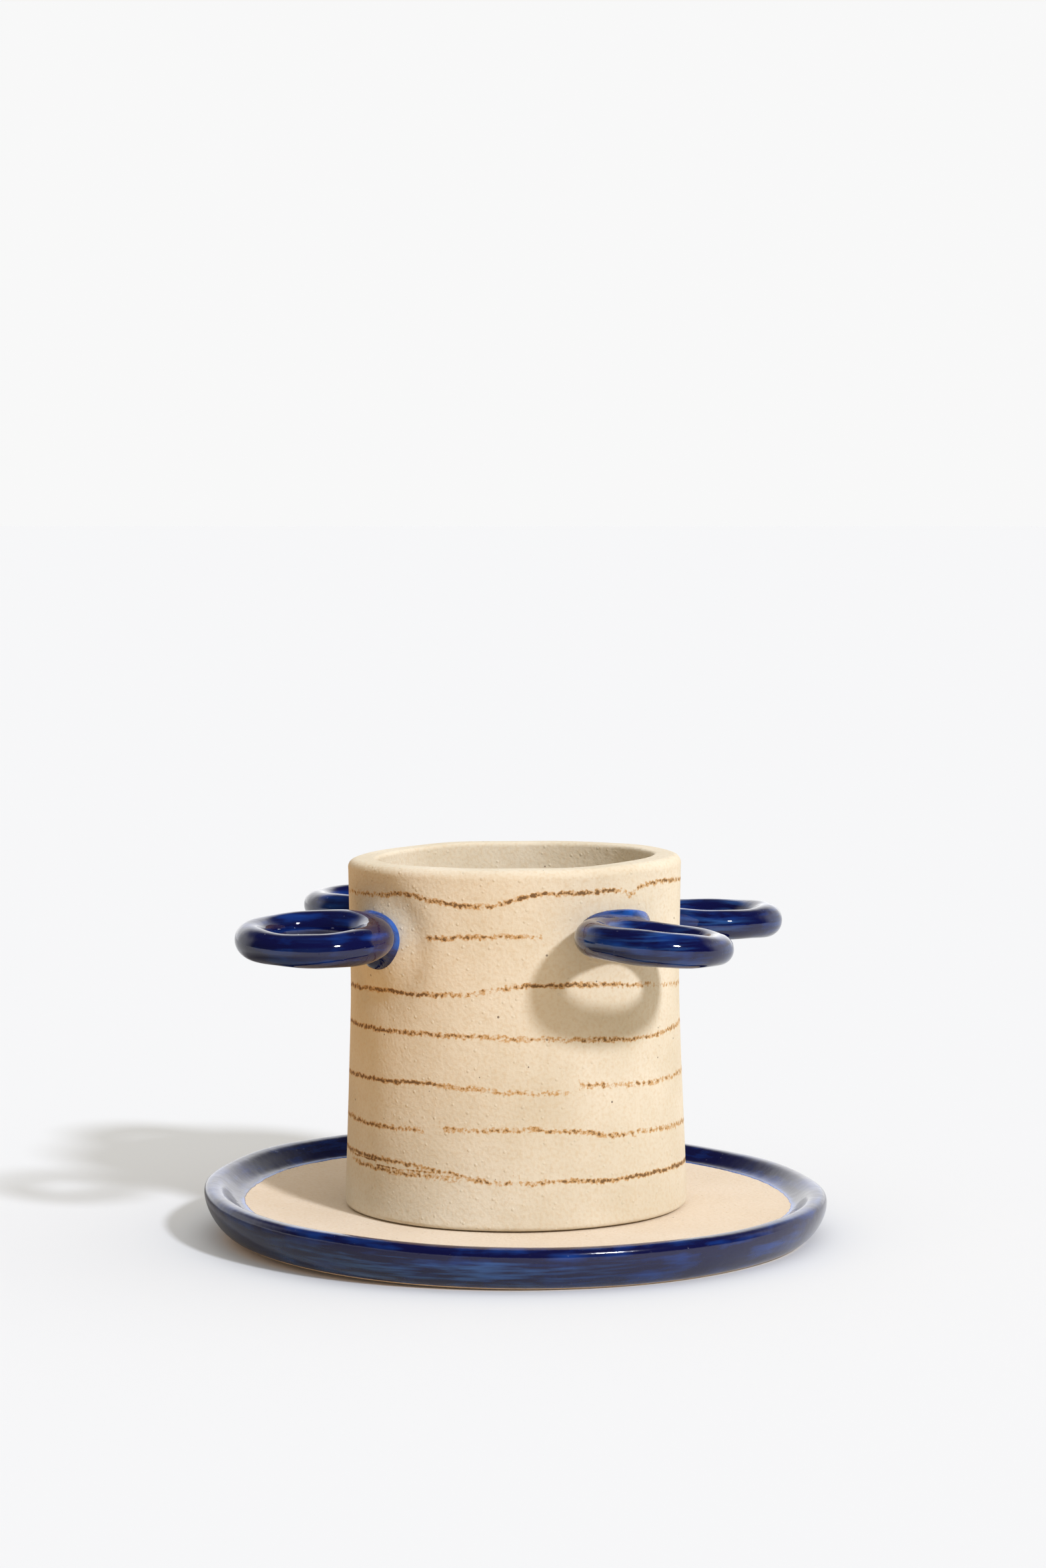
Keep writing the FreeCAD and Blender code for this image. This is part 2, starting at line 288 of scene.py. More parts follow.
under = np.linspace(fan_radius, tray_floor_radius, 16)
over = np.linspace(tray_floor_radius, fan_radius, 64)
side = np.linspace(0, tray_floor_top, 5)[1:-1]
floor_profile = np.vstack([
    np.column_stack([under, 0 * under]),
    np.column_stack([0 * side + tray_floor_radius, side]),
    np.column_stack([over, 0 * over + tray_floor_top]),
])
floor_points = turned(floor_profile, COLUMNS_ROUND_TRAY)
floor_points[..., 2] += tray_warp(floor_points[..., 0], floor_points[..., 1])
tray_floor = skin("tray_floor_slab", floor_points, fanned=True)
floor_corners = corners(tray_floor)
floor_reach = np.hypot(floor_corners[:, 0], floor_corners[:, 1])
on_top = floor_corners[:, 2] > tray_floor_top / 2
floor_depth = floor_reach - glaze_edge(floor_corners[:, 0], floor_corners[:, 1])
floor_glaze = np.where(on_top, floor_depth, UNGLAZED_DEPTH)
store(tray_floor, "glaze", floor_glaze / MM)
tray_stoneware = stoneware("half_glazed_stoneware", tray_clay_hexes, glaze_roughness=0.13, fraying=0.9)
tray_floor.data.materials.append(tray_stoneware)
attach(tray_floor, "tray")
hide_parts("tray_floor")


# Tray rim
# A clay coil luted round the slab's edge and pulled out and up with wet fingers, dished inside and undercut
# outside. It is brushed with cobalt glaze to just above its foot, where a line of clay stays bare.

rim_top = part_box("tray_rim")[1].z
rim_foot_radius = tray_floor_radius + 3.4 * MM
rim_belly_height = 8 * MM
rim_crest_radius = tray_radius - 2.9 * MM
bare_foot_line = 0.5 * MM
foot_line_sharpness = 6
brushed_bearing = math.radians(255)
brushed_spread = math.radians(30)
# Lighter line on the outer brow past the crest: partly glaze thinning over the edge, partly painted sheen.
crest_line_offset = 1.4 * MM
crest_line_width = 0.6 * MM
crest_line_share = 0.6
RIM_WAVES = ((0.16 * MM, 3, 0, 0.5), (0.1 * MM, 7, 0, 1.9), (0.07 * MM, 12, 0, 0.2))


def bend(steers, count):
    """Points along the Bezier curve that the steering points draw: each weighted by its Bernstein share."""
    steers = np.array(steers)
    share = np.linspace(0, 1, count)[:, None]
    last = len(steers) - 1
    weights = [math.comb(last, i) * share**i * (1 - share) ** (last - i) for i in range(last + 1)]
    return sum(weight * steer for weight, steer in zip(weights, steers))


foot_in = (tray_floor_radius, 0)
foot_out = (rim_foot_radius, 0)
undercut = (rim_foot_radius + 2.6 * MM, 0.6 * MM)
face = (tray_radius - 0.6 * MM, 4.2 * MM)
belly = (tray_radius, rim_belly_height)
shoulder = (tray_radius + 0.3 * MM, rim_top - 0.3 * MM)
brow = (tray_radius - 1.2 * MM, rim_top)
crest = (rim_crest_radius, rim_top)
slope = (rim_crest_radius - 2.6 * MM, rim_top)
dish = (tray_floor_radius + 3 * MM, tray_floor_top)
dish_end = (tray_floor_radius, tray_floor_top)
rim_profile = np.vstack([
    bend([foot_in, foot_out], 6)[:-1],
    bend([foot_out, undercut, face, belly], 30)[:-1],
    bend([belly, shoulder, brow, crest], 18)[:-1],
    bend([crest, slope, dish, dish_end], 36)[:-1],
    bend([dish_end, foot_in], 5)[:-1],
])
rim_points = turned(rim_profile, COLUMNS_ROUND_TRAY)
rim_x, rim_y, rim_z = rim_points[..., 0], rim_points[..., 1], rim_points[..., 2]
rim_share = np.clip((np.hypot(rim_x, rim_y) - tray_floor_radius) / (tray_radius - tray_floor_radius), 0, 1)
rim_wave = unevenness(np.arctan2(rim_y, rim_x), 0, RIM_WAVES)
rim_points[..., :2] *= (1 + rim_share * rim_wave / tray_radius)[..., None]
rim_points[..., 2] += tray_warp(rim_x, rim_y) + rim_share * rim_wave * (rim_z > tray_floor_top)
tray_rim = skin("tray_rim_coil", rim_points)
flat_depth = np.hypot(rim_x, rim_y) - glaze_edge(rim_x, rim_y)
outer_depth = foot_line_sharpness * (rim_profile[:, 1:] - bare_foot_line) + 0 * rim_x
rim_glaze = np.where(rim_profile[:, 1:] >= tray_floor_top, flat_depth, outer_depth)
store(tray_rim, "glaze", rim_glaze.ravel() / MM)
brushed_turn = (np.arctan2(rim_y, rim_x) - brushed_bearing + math.pi) % math.tau - math.pi
brushed_patch = np.exp(-((brushed_turn / brushed_spread) ** 2)) * (rim_profile[:, 1:] < rim_belly_height)
# Partly thin glaze, partly painted sheen: a lighter line on the outer brow, stored with the brush streaks.
from_break = (rim_profile[:, :1] - rim_crest_radius - crest_line_offset) / crest_line_width
crest_line = crest_line_share * np.exp(-(from_break**2)) * (rim_profile[:, 1:] > rim_belly_height)
store(tray_rim, "brushed", np.maximum(brushed_patch, crest_line).ravel())
tray_rim.data.materials.append(tray_stoneware)
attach(tray_rim, "tray")
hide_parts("tray_rim")


# Cup wall
# A slab of the same clay rolled into a tube, drawn in under the loops and smoothed over at the lip by hand.
# Uneven bands are drawn round it in brown ceramic crayon, which catches only on the clay's grain.

COLUMNS_ROUND_CUP = 420
cup_clay_hexes = ("#EAE1CD", "#DED3BB")
cup_glaze_roughness = 0.05
cup_glaze_fraying = 2.0
cup_low, cup_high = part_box("cup_wall")
cup_base = cup_low.z
cup_height = cup_high.z - cup_low.z
foot_radius = cup_high.x
wall_thick = 7.5 * MM
waist_height = 58 * MM
waist_radius = foot_radius - 2.1 * MM
waist_soft = 8 * MM
slope_below = 0.037
slope_above = 0.018
foot_round = 1.4 * MM
lip_round_out = 2.4 * MM
lip_round_in = 1.1 * MM
lip_tilt = 0.6 * MM
lip_sharpness = 6
foot_lift = 0.45 * MM
foot_lift_bearing = math.radians(-60)
foot_sharpness = 12
LIP_WAVES = ((0.14 * MM, 3, 0, 0.7), (0.1 * MM, 5, 0, 2.2), (0.06 * MM, 9, 0, 1.0))
WALL_WAVES = ((0.22 * MM, 2, 0, 0.6), (0.14 * MM, 3, 36, -0.4), (0.09 * MM, 5, -62, 1.1),
              (0.06 * MM, 9, 90, 0.3))


def tube_radius(height):
    """The tube's outer radius at a height: two straight slopes that a square root blends at the waist."""
    above = height - waist_height
    mean_slope = (slope_above - slope_below) / 2
    return waist_radius + mean_slope * above + (slope_above + slope_below) / 2 * np.hypot(above, waist_soft)


HAND_SET_LOOPS = {
    "back_right": {"droop": 0.5, "roll": -0.4, "thicker": 0.25 * MM, "plump": 0.1 * MM, "plump_at": 0,
                   "pad_slide": 0 * MM, "pad_half_width": 7 * MM, "pad_half_height": 4.6 * MM,
                   "swell": 0.6 * MM, "brushed": 0.45},
    "back_left": {"droop": 0.3, "roll": 0, "thicker": 0 * MM, "plump": 0.1 * MM, "plump_at": 90,
                  "pad_slide": 0 * MM, "pad_half_width": 7 * MM, "pad_half_height": 4.6 * MM,
                  "swell": 0.7 * MM, "brushed": 0},
    "front_left": {"droop": 2.8, "roll": -4, "thicker": 0.4 * MM, "plump": 0.35 * MM, "plump_at": 145,
                   "pad_slide": 0.3 * MM, "pad_half_width": 6.2 * MM, "pad_half_height": 5 * MM,
                   "swell": 1.3 * MM, "brushed": 0.06},
    "front_right": {"droop": 1.5, "roll": -5, "thicker": 0.3 * MM, "plump": 0.4 * MM, "plump_at": -124,
                    "pad_slide": 3.7 * MM, "pad_half_width": 9.2 * MM, "pad_half_height": 3.9 * MM,
                    "swell": 0.6 * MM, "brushed": 0.35},
}
coil_radius = 4 * MM
pad_proud = 3.2 * MM
swell_width = 10 * MM
hollow_distance = 14 * MM
hollow_width = 4.5 * MM
hollow_share = 0.75
pad_blend = 3 * MM
COIL_WAVES = ((0.14 * MM, 2, 0, 0.4), (0.12 * MM, 3, 0, 1.7), (0.07 * MM, 7, 0, 0.2))


def tilted_axes(turn, droop, roll):
    """Outward, sideways and upward directions of a loop: its turn, droop and roll matrices, multiplied."""
    spin = np.array([[math.cos(turn), -math.sin(turn), 0], [math.sin(turn), math.cos(turn), 0], [0, 0, 1]])
    sunk, out = math.sin(droop), math.cos(droop)
    sink = np.array([[out, 0, sunk], [0, 1, 0], [-sunk, 0, out]])
    aside, up = math.sin(roll), math.cos(roll)
    lean = np.array([[1, 0, 0], [0, up, -aside], [0, aside, up]])
    return spin @ sink @ lean


def loop_setting(place):
    """Where one loop and its pad sit, from their nodes' boxes, and how the loop is tilted."""
    low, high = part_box(f"loop_{place}")
    pad_low, pad_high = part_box(f"loop_pad_{place}")
    spot, pad_spot = np.array((low + high) / 2), np.array((pad_low + pad_high) / 2)
    turn = math.atan2(spot[1], spot[0])
    hand = HAND_SET_LOOPS[place]
    return {
        **hand,
        "middle": spot,
        "axes": tilted_axes(turn, math.radians(hand["droop"]), math.radians(hand["roll"])),
        "ring_radius": max(high.x - low.x, high.y - low.y) / 2 - coil_radius,
        "root_bearing": math.atan2(pad_spot[1], pad_spot[0]) + hand["pad_slide"] / waist_radius,
        "root_height": pad_spot[2],
    }


loop_settings = {place: loop_setting(place) for place in HAND_SET_LOOPS}


def swell(bearing, height):
    """Clay pushed about round the loops' roots: a mound, less a ring-shaped hollow left by a finger.

    Both are bell curves of the distance from a root, along the wall.
    """
    total = 0
    for loop in loop_settings.values():
        turn = (bearing - loop["root_bearing"] + math.pi) % math.tau - math.pi
        distance = np.hypot(turn * waist_radius, height - loop["root_height"])
        mound = np.exp(-((distance / swell_width) ** 2))
        hollow = np.exp(-(((distance - hollow_distance) / hollow_width) ** 2))
        total = total + loop["swell"] * (mound - hollow_share * hollow)
    return total


def wall_radius(bearing, height):
    """The finished wall's outer radius at a bearing and height: the tube's, its unevenness and the swell."""
    above = height - cup_base
    return tube_radius(above) + unevenness(bearing, above, WALL_WAVES) + swell(bearing, height)


def round_off(centre, radius, start, count):
    """A quarter circle about a centre, counter-clockwise from a start angle in quarter turns."""
    angle = (start + np.linspace(0, 1, count)) * math.pi / 2
    return np.column_stack([centre[0] + radius * np.cos(angle), centre[1] + radius * np.sin(angle)])


lip_radius = tube_radius(cup_height)
bore_top = lip_radius - wall_thick
bore_foot = foot_radius - wall_thick
rise = np.linspace(foot_round, cup_height - lip_round_out, 118)[1:-1]
fall = np.linspace(cup_height - lip_round_in, 0, 56)[1:]
wall_profile = np.vstack([
    bend([(bore_foot, 0), (foot_radius - foot_round, 0)], 6)[1:-1],
    round_off((tube_radius(foot_round) - foot_round, foot_round), foot_round, 3, 9),
    np.column_stack([tube_radius(rise), rise]),
    round_off((lip_radius - lip_round_out, cup_height - lip_round_out), lip_round_out, 0, 14),
    bend([(lip_radius - lip_round_out, cup_height), (bore_top + lip_round_in, cup_height)], 6)[1:-1],
    round_off((bore_top + lip_round_in, cup_height - lip_round_in), lip_round_in, 1, 12),
    np.column_stack([bore_foot + (bore_top - bore_foot) * fall / cup_height, fall]),
])
wall_points = turned(wall_profile, COLUMNS_ROUND_CUP)
wall_x, wall_y, wall_z = wall_points[..., 0], wall_points[..., 1], wall_points[..., 2] + cup_base
wall_bearing = np.arctan2(wall_y, wall_x)
profile_reach = wall_profile[:, :1]
outside_share = np.clip((profile_reach - bore_foot) / (lip_radius - lip_round_out - bore_foot), 0, 1)
push = unevenness(wall_bearing, wall_z - cup_base, WALL_WAVES) + outside_share * swell(wall_bearing, wall_z)
wall_points[..., :2] *= (1 + push / profile_reach)[..., None]
lip_lift = lip_tilt * np.cos(wall_bearing) + unevenness(wall_bearing, 0, LIP_WAVES)
up_share = (wall_z - cup_base) / cup_height
foot_gap = foot_lift * (1 + np.cos(wall_bearing - foot_lift_bearing)) / 2
lip_rise = lip_lift * up_share**lip_sharpness
foot_rise = foot_gap * (1 - up_share) ** foot_sharpness
wall_points[..., 2] = wall_z + lip_rise + foot_rise
cup_wall = skin("cup_wall_tube", wall_points)
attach(cup_wall, "cup")
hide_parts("cup_wall")

# The crayon bands: each point is a bearing in degrees to the right of the front, a height in
# millimetres above the cup's foot, and how hard the crayon was pressed.
CRAYON_BANDS = (
    ((-180, 86, 0.5), (-130, 85, 0.6), (-87, 84.5, 0.5), (-57, 85.2, 0.6), (-42, 86.5, 0.7),
     (-31, 85.3, 0.8), (-20, 84.3, 0.9), (-13, 84.1, 0.6), (-11, 84.1, 0), (-9, 84.2, 0.8),
     (-2, 85.6, 0.7), (6, 87.1, 0.9),
     (18, 87.6, 0.8), (36, 87.6, 0.8), (39, 87.3, 0.2), (42, 86, 0.5), (49, 88.5, 0.6), (60, 88.7, 0.8),
     (88, 87.5, 0.6), (130, 86.5, 0.7), (180, 86, 0.5)),
    ((-33, 75.4, 0), (-31, 75.4, 0.9), (-16, 76.1, 0.6), (-3, 76.5, 0.5), (5, 76.4, 0.35), (10, 76.3, 0)),
    ((-180, 61, 0.6), (-130, 60, 0.7), (-87, 59.3, 0.8), (-53, 60.6, 0.9), (-37, 60.4, 1), (-25, 61, 0.6),
     (-13, 61.7, 0.3), (-4, 63.2, 0.5), (6, 63.9, 0.9), (25, 63.6, 0.8), (50, 62.3, 0.5), (58, 61.6, 0.1),
     (70, 60.8, 0.4), (80, 60, 0.5), (130, 61, 0.7), (180, 61, 0.6)),
    ((-180, 50.5, 0.5), (-87, 49.8, 0.9), (-55, 50.3, 0.9), (-33, 50.6, 0.6), (-13, 50.5, 0.45),
     (13, 49.9, 0.4), (30, 49.2, 0.7), (43, 48.5, 0.75), (53, 48.6, 0.6), (80, 49.6, 0.6), (180, 50.5, 0.5)),
    ((-170, 37, 0), (-140, 36.5, 0.5), (-87, 36.1, 0.8), (-54, 37.1, 1), (-30, 37.9, 0.8), (-16, 37.1, 0.5),
     (-4, 36.3, 0.4), (8, 36.1, 0.35), (18, 36.1, 0.2), (20, 36.1, 0), (22, 37.7, 0), (23, 37.7, 0.5),
     (49, 36.5, 0.5), (85, 36.7, 0.5), (120, 36, 0.6), (150, 36.5, 0)),
    ((-180, 25, 0.5), (-100, 25, 0.6), (-70, 25, 0.7), (-54, 25.1, 0.8), (-42, 25.3, 0.6), (-33, 25.6, 0.4),
     (-31, 25.6, 0), (-26, 26.2, 0), (-24, 26.2, 0.4), (-11, 26.4, 0.45), (-2, 26.5, 0.5), (6, 26.8, 0.6),
     (23, 25.6, 0.6), (36, 23.9, 0.6), (49, 24, 0.4), (83, 23, 0.6), (130, 24.5, 0.5), (180, 25, 0.5)),
    ((-170, 14, 0), (-150, 14.5, 0.5), (-100, 16, 0.6), (-64, 16.5, 0.9), (-42, 16.6, 0.7), (-25, 15.3, 0.6),
     (-17, 14, 0.6), (-2, 12.8, 0.5), (0, 12.8, 0), (1, 12.8, 0), (3, 12.8, 0.5), (15, 13.4, 0.6),
     (35, 12.5, 0.8), (48, 12.7, 0.9), (83, 12.4, 0.9), (120, 13, 0.6), (160, 13.5, 0)),
    ((-75, 14.6, 0), (-62, 14, 0.8), (-33, 13.7, 0.6), (-23, 13.4, 0.3), (-18, 13.4, 0)),
)
crayon_reach = 3.0
crayon_dark_hex = "#5C3D20"
crayon_rust_hex = "#C8933C"
crayon_half_width = 0.95
crayon_shake = 1.6
crayon_shake_length = 3 * MM
crayon_bite = 0.36


def nearest_band(bearing, height):
    """Height above the nearest crayon band, in mm, and its pressure, which is zero far from every band."""
    gap = np.full(bearing.shape, np.inf)
    pressure = np.zeros(bearing.shape)
    for band in CRAYON_BANDS:
        turns, heights, presses = np.array(band).T
        above = height - np.interp(bearing, turns, heights)
        press = np.interp(bearing, turns, presses, left=0, right=0)
        closer = (np.abs(above) < np.abs(gap)) & (press > 0)
        gap = np.where(closer, above, gap)
        pressure = np.where(closer & (np.abs(above) < crayon_reach), press, np.where(closer, 0, pressure))
    return np.clip(gap, -crayon_reach, crayon_reach), pressure


def soft_join(first, second, width):
    """The smaller of two distances, eased together where they differ by less than a width."""
    ease = np.clip(1 - np.abs(first - second) / width, 0, None)
    return np.minimum(first, second) - width * ease**2 / 4


def loop_gap(loop, points):
    """Distance from points to a loop's coil and pad, joined softly: below zero is inside the clay.

    The coil is a ring whose thickness varies round it, and the pad is half an egg on the wall.
    """
    local = (points - loop["middle"]) @ loop["axes"]
    round_ring = np.arctan2(local[..., 1], local[..., 0])
    plump = loop["thicker"] + loop["plump"] * np.cos(round_ring - math.radians(loop["plump_at"]))
    plump = plump + unevenness(round_ring, 0, COIL_WAVES)
    ring = np.hypot(np.hypot(local[..., 0], local[..., 1]) - loop["ring_radius"], local[..., 2])
    out = np.array([math.cos(loop["root_bearing"]), math.sin(loop["root_bearing"]), 0])
    seat = out * tube_radius(loop["root_height"] - cup_base) + np.array([0, 0, loop["root_height"]])
    away = points - seat
    scaled = np.stack([away @ out / pad_proud,
                       away @ np.cross((0, 0, 1), out) / loop["pad_half_width"],
                       away[..., 2] / loop["pad_half_height"]], axis=-1)
    pad = (np.linalg.norm(scaled, axis=-1) - 1) * pad_proud
    return soft_join(ring - coil_radius - plump, pad, pad_blend)


run_gain = 0.4
most_lost = 0.5
most_gained = 2
smear_least = 0.3
smear_gain = 0.6


def glaze_run(root_height, height):
    """Depth, in mm, of glaze that ran down a loop's root: lost above its middle, gained evenly below."""
    return np.clip(run_gain * (root_height - height) / MM, -most_lost, most_gained)


wall_corners = corners(cup_wall)
corner_bearing = np.arctan2(wall_corners[:, 1], wall_corners[:, 0])
drawn_on_from = lip_radius - lip_round_out / 2 - 1 * MM
corner_outside = np.repeat(profile_reach.ravel() > drawn_on_from, COLUMNS_ROUND_CUP)
front_turn = (np.degrees(corner_bearing) + 270) % 360 - 180
band_gap, band_pressure = nearest_band(front_turn, (wall_corners[:, 2] - cup_base) / MM)
store(cup_wall, "band_gap", band_gap)
store(cup_wall, "band_pressure", band_pressure * corner_outside)
loop_gaps = np.array([loop_gap(loop, wall_corners) for loop in loop_settings.values()])
root_heights = np.array([loop["root_height"] for loop in loop_settings.values()])
wall_run = glaze_run(root_heights[loop_gaps.argmin(axis=0)], wall_corners[:, 2])
smear_width = smear_least + smear_gain * np.clip(-wall_run, 0, None)
wall_depth = smear_width - loop_gaps.min(axis=0) / MM
store(cup_wall, "glaze", np.where(corner_outside, wall_depth, UNGLAZED_DEPTH / MM))
store(cup_wall, "run", wall_run)


def crayoned(material):
    """Draws the crayon over a material: a golden-brown smear, with dark crumbs where it caught on the grain.

    The crumbs follow the clay's sand, which is drawn coarse enough to show.
    """
    tree = material.node_tree
    shader = tree.nodes["Principled BSDF"]
    clay = shader.inputs["Base Color"].links[0].from_socket
    place = node(tree, "ShaderNodeTexCoord").outputs["Object"]
    gap = node(tree, "ShaderNodeAttribute", attribute_name="band_gap").outputs["Fac"]
    pressure = node(tree, "ShaderNodeAttribute", attribute_name="band_pressure").outputs["Fac"]
    shake = node(tree, "ShaderNodeTexNoise",
                 {"Vector": place, "Scale": 1 / crayon_shake_length, "Detail": 3.0})
    shaken = node(tree, "ShaderNodeMath", {0: shake, 1: crayon_shake, 2: gap}, operation="MULTIPLY_ADD")
    centred = node(tree, "ShaderNodeMath", {0: shaken, 1: crayon_shake / 2}, operation="SUBTRACT")
    distance = node(tree, "ShaderNodeMath", {0: centred}, operation="ABSOLUTE")
    across = node(tree, "ShaderNodeMapRange",
                  {"Value": distance, "From Min": crayon_half_width, "From Max": 0.1},
                  interpolation_type="SMOOTHSTEP")
    worn = node(tree, "ShaderNodeMath", {0: across, 1: pressure}, operation="MULTIPLY")
    grain = node(tree, "ShaderNodeTexNoise", {"Vector": place, "Scale": 1 / sand_size, "Detail": 4.0})
    bite = node(tree, "ShaderNodeMath", {0: worn, 1: crayon_bite, 2: grain}, operation="MULTIPLY_ADD")
    smear = node(tree, "ShaderNodeMapRange",
                 {"Value": bite, "From Min": 0.52, "From Max": 0.72, "To Max": 0.8})
    crumbs = node(tree, "ShaderNodeMapRange",
                  {"Value": bite, "From Min": 0.72, "From Max": 0.82, "To Max": 0.8})
    drawn = node(tree, "ShaderNodeMath", {0: worn, 1: 0.02}, operation="GREATER_THAN")
    smeared = node(tree, "ShaderNodeMath", {0: smear, 1: drawn}, operation="MULTIPLY")
    crumbed = node(tree, "ShaderNodeMath", {0: crumbs, 1: drawn}, operation="MULTIPLY")
    rusty = node(tree, "ShaderNodeMixRGB",
                 {"Fac": smeared, "Color1": clay, "Color2": linear(crayon_rust_hex)})
    dark = node(tree, "ShaderNodeMixRGB",
                {"Fac": crumbed, "Color1": rusty, "Color2": linear(crayon_dark_hex)})
    tree.links.new(dark.outputs[0], shader.inputs["Base Color"])
    return material


wall_stoneware = stoneware("crayoned_stoneware", cup_clay_hexes, cup_glaze_roughness, cup_glaze_fraying)
cup_wall.data.materials.append(crayoned(wall_stoneware))


# Cup floor
# A disc of the same clay, left bare and luted inside the foot of the tube. A finger smoothed its seam up
# into a soft fillet.

disc_low, disc_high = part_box("cup_floor")
disc_radius = disc_high.x
fillet_height = 2.6 * MM
fillet_width = 2.2 * MM
disc_fan_radius = 2 * MM
COLUMNS_ROUND_DISC = 240
DISC_WAVES = ((0.12 * MM, 70, 40, 0.3), (0.1 * MM, -50, 90, 1.2), (0.07 * MM, 120, -100, 2.0))
disc_under = np.linspace(disc_fan_radius, disc_radius, 10)
disc_over = np.linspace(disc_radius, disc_fan_radius, 48)
disc_side = np.linspace(disc_low.z, disc_high.z, 4)[1:-1]
fillet = fillet_height * np.exp(-(disc_radius - disc_over) / fillet_width)
disc_profile = np.vstack([
    np.column_stack([disc_under, 0 * disc_under + disc_low.z]),
    np.column_stack([0 * disc_side + disc_radius, disc_side]),
    np.column_stack([disc_over, disc_high.z + fillet]),
])
disc_points = turned(disc_profile, COLUMNS_ROUND_DISC)
disc_sway = unevenness(disc_points[..., 0], disc_points[..., 1], DISC_WAVES)
disc_points[..., 2] += disc_sway * (disc_points[..., 2] > (disc_low.z + disc_high.z) / 2)
cup_floor = skin("cup_floor_disc", disc_points, fanned=True)
store(cup_floor, "glaze", np.full(len(cup_floor.data.vertices), UNGLAZED_DEPTH / MM))
disc_stoneware = stoneware("bare_stoneware", cup_clay_hexes, cup_glaze_roughness, cup_glaze_fraying)
cup_floor.data.materials.append(disc_stoneware)
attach(cup_floor, "cup")
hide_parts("cup_floor")


# Loops
# Coils rolled by hand, closed into rings and luted to the wall, each with a pad of soft clay smeared round
# its root. Coil and pad are brushed with cobalt glaze, which runs thin and bright where it meets the wall.

COLUMNS_ROUND_LOOP = 240
ROWS_ROUND_COIL = 112
root_fillet = 3.2 * MM
root_depth = 1.6 * MM
fillet_reach = 0.9 * MM
WALK_STEPS = 70
WALK_SHARE = 0.7
BRUSH_WAVES = ((0.6, 3, 0, -1.1), (0.4, 5, 0, 1.2))
root_glaze_depth = 0.6
glaze_gain = 0.4
full_glaze_depth = 9
loop_stoneware = stoneware("cobalt_glazed_stoneware", cup_clay_hexes, cup_glaze_roughness, cup_glaze_fraying)


def loop_surface(loop):
    """A loop's skin: from each point of its centre line, walk out until the joined clay ends.

    The clay is the coil and pad, eased into the wall by a narrow fillet, less what lies deep in the wall.
    """
    along = np.linspace(0, math.tau, COLUMNS_ROUND_LOOP, endpoint=False)
    around = np.linspace(0, math.tau, ROWS_ROUND_COIL, endpoint=False)[:, None]
    outward = np.stack([np.cos(along), np.sin(along), 0 * along], axis=-1) @ loop["axes"].T
    centre = loop["middle"] + loop["ring_radius"] * outward
    heading = np.cos(around)[..., None] * outward + np.sin(around)[..., None] * loop["axes"][:, 2]
    walked = np.zeros(heading.shape[:2])
    for _ in range(WALK_STEPS):
        points = centre + walked[..., None] * heading
        wall_gap = np.hypot(points[..., 0], points[..., 1]) - wall_radius(
            np.arctan2(points[..., 1], points[..., 0]), points[..., 2])
        coil_gap = loop_gap(loop, points)
        clay_gap = np.maximum(soft_join(coil_gap, wall_gap, root_fillet), coil_gap - fillet_reach)
        walked = walked - WALK_SHARE * np.maximum(clay_gap, -wall_gap - root_depth)
    return centre + walked[..., None] * heading


for place, setting in loop_settings.items():
    points = loop_surface(setting)
    loop = skin(f"loop_{place}_coil", points)
    flat = points.reshape(-1, 3)
    flat_bearing = np.arctan2(flat[:, 1], flat[:, 0])
    off_wall = np.hypot(flat[:, 0], flat[:, 1]) - wall_radius(flat_bearing, flat[:, 2])
    glaze_depth = root_glaze_depth + glaze_gain * off_wall / MM
    store(loop, "glaze", np.clip(glaze_depth, root_glaze_depth, full_glaze_depth))
    store(loop, "run", glaze_run(setting["root_height"], flat[:, 2]))
    from_middle = flat - setting["middle"]
    patches = 1 + unevenness(np.arctan2(from_middle[:, 1], from_middle[:, 0]), 0, BRUSH_WAVES)
    store(loop, "brushed", setting["brushed"] * patches)
    loop.data.materials.append(loop_stoneware)
    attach(loop, "cup")
    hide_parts(f"loop_{place}", f"loop_pad_{place}")


# Studio
# A white sweep lit by one lamp from the front right and a bright room. On the left the sweep sends back
# warmer light, and close by it is painted darker where the glaze mirrors it: a painted shade. The camera is
# a metre away and looks slightly down.

view_settings = bpy.context.scene.view_settings
view_settings.view_transform = "Standard"

SWEEP_HALF_SIZE = 30.0
sweep_hex = "#E9EDF1"
right_bounce_hex = "#E7DFCE"
left_bounce_hex = "#FAC67E"
# Painted shade: the darker colour that the sweep shows in the glaze's reflections near the tray's left.
left_mirror_shade_hex = "#7A7876"
backdrop_level = 0.94
sweep_lift = 0.02
left_end = -140 * MM
right_end = 60 * MM
near_end = 150 * MM
far_end = 260 * MM
sweep_mesh = bpy.data.meshes.new("sweep")
sweep_corners = SWEEP_HALF_SIZE * np.array([(-1, -1, 0), (1, -1, 0), (1, 1, 0), (-1, 1, 0)])
sweep_mesh.from_pydata(sweep_corners.tolist(), [], [(0, 1, 2, 3)])
sweep = bpy.data.objects.new("sweep", sweep_mesh)
bpy.context.scene.collection.objects.link(sweep)
sweep_material = bpy.data.materials.new("white_sweep")
sweep_material.use_nodes = True
sweep_tree = sweep_material.node_tree
sweep_tree.nodes.clear()
paths = node(sweep_tree, "ShaderNodeLightPath")
seen = node(sweep_tree, "ShaderNodeMath",
            {0: paths.outputs["Is Camera Ray"], 1: paths.outputs["Is Glossy Ray"]}, operation="MAXIMUM")
lift = node(sweep_tree, "ShaderNodeMath", {0: seen, 1: sweep_lift}, operation="MULTIPLY")
sweep_place = node(sweep_tree, "ShaderNodeTexCoord").outputs["Object"]
spot = node(sweep_tree, "ShaderNodeSeparateXYZ", {"Vector": sweep_place})
